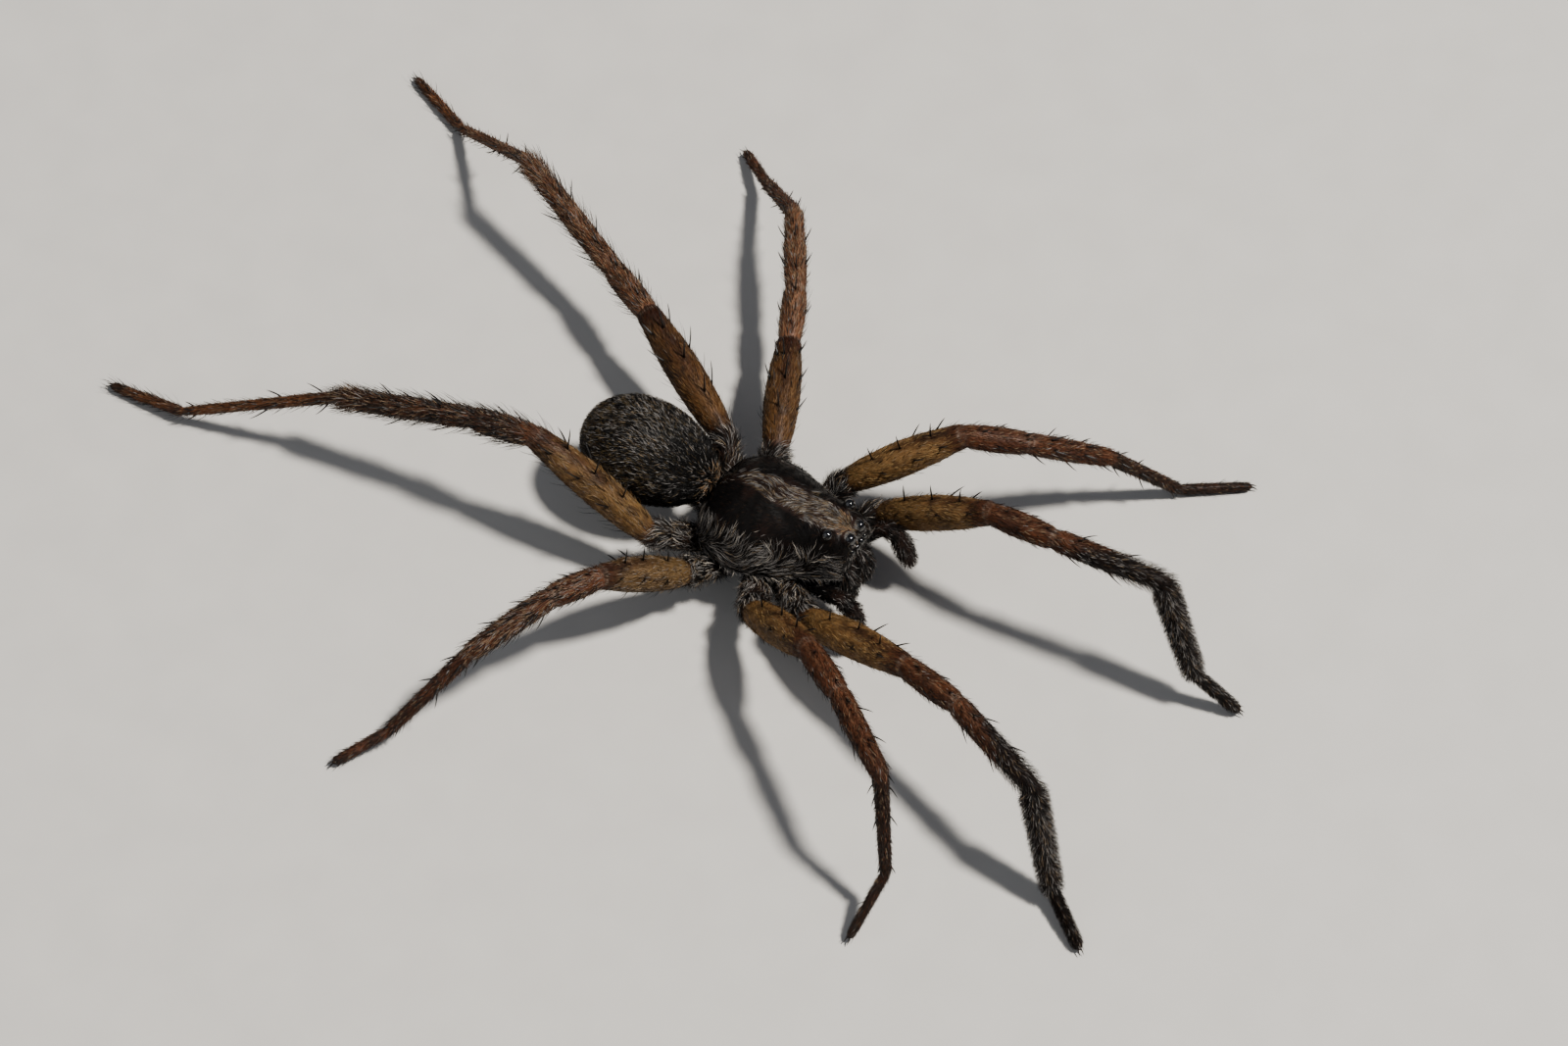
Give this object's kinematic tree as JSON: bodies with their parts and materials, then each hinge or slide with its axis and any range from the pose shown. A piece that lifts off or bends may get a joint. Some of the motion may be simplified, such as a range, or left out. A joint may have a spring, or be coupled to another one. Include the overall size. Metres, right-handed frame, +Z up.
{
  "type": "wolf spider",
  "caption": "Hairy dark wolf spider standing alert with its long ochre and red-brown legs spread, a furred oval abdomen behind a glossy banded carapace.",
  "frame": {"origin": "centre of the whole animal's bounding box, on the ground under the feet", "axes": "the animal faces -Y, its left side is towards +X, and +Z is up; millimetre sizes are life size"},
  "size_m": [0.0352, 0.0462, 0.0072],
  "materials": {
    "carapace": "glossy black-brown shell plate, with pale flat hair down the middle and round the sides",
    "abdomen": "dense dark charcoal-brown hair with fine grey flecks",
    "underside": "short blackish-brown hair",
    "leg_base": "dark brown with tufts of pale grey hair",
    "femur": "ochre-brown skin under fine golden hair, with dark ends and black spines",
    "knee": "reddish brown under short hair, pale at the joints",
    "tibia": "reddish brown to blackish under bristly hair, with black spines",
    "foot": "dark red-brown to black under a dense brush of short hair",
    "palp": "blackish brown with bristly black hair",
    "jaw": "glossy black with grey-black bristles",
    "eye": "polished black"
  },
  "bodies": {
    "root": {"abdomen": "abdomen", "carapace": "carapace", "chelicera_left": "jaw", "chelicera_right": "jaw", "eye_anterior_lateral_left": "eye", "eye_anterior_lateral_right": "eye", "eye_anterior_median_left": "eye", "eye_anterior_median_right": "eye", "eye_posterior_lateral_left": "eye", "eye_posterior_lateral_right": "eye", "eye_posterior_median_left": "eye", "eye_posterior_median_right": "eye", "leg_1_left_coxa": "leg_base", "leg_1_left_femur": "femur", "leg_1_left_foot": "foot", "leg_1_left_patella": "knee", "leg_1_left_tibia": "tibia", "leg_1_right_coxa": "leg_base", "leg_1_right_femur": "femur", "leg_1_right_foot": "foot", "leg_1_right_patella": "knee", "leg_1_right_tibia": "tibia", "leg_2_left_coxa": "leg_base", "leg_2_left_femur": "femur", "leg_2_left_foot": "foot", "leg_2_left_patella": "knee", "leg_2_left_tibia": "tibia", "leg_2_right_coxa": "leg_base", "leg_2_right_femur": "femur", "leg_2_right_foot": "foot", "leg_2_right_patella": "knee", "leg_2_right_tibia": "tibia", "leg_3_left_coxa": "leg_base", "leg_3_left_femur": "femur", "leg_3_left_foot": "foot", "leg_3_left_patella": "knee", "leg_3_left_tibia": "tibia", "leg_3_right_coxa": "leg_base", "leg_3_right_femur": "femur", "leg_3_right_foot": "foot", "leg_3_right_patella": "knee", "leg_3_right_tibia": "tibia", "leg_4_left_coxa": "leg_base", "leg_4_left_femur": "femur", "leg_4_left_foot": "foot", "leg_4_left_patella": "knee", "leg_4_left_tibia": "tibia", "leg_4_right_coxa": "leg_base", "leg_4_right_femur": "femur", "leg_4_right_foot": "foot", "leg_4_right_patella": "knee", "leg_4_right_tibia": "tibia", "mouthparts": "underside", "palp_left_femur": "palp", "palp_left_tip": "palp", "palp_right_femur": "palp", "palp_right_tip": "palp", "pedicel": "underside", "spinnerets": "abdomen", "sternum": "underside"}
  },
  "joints": []
}
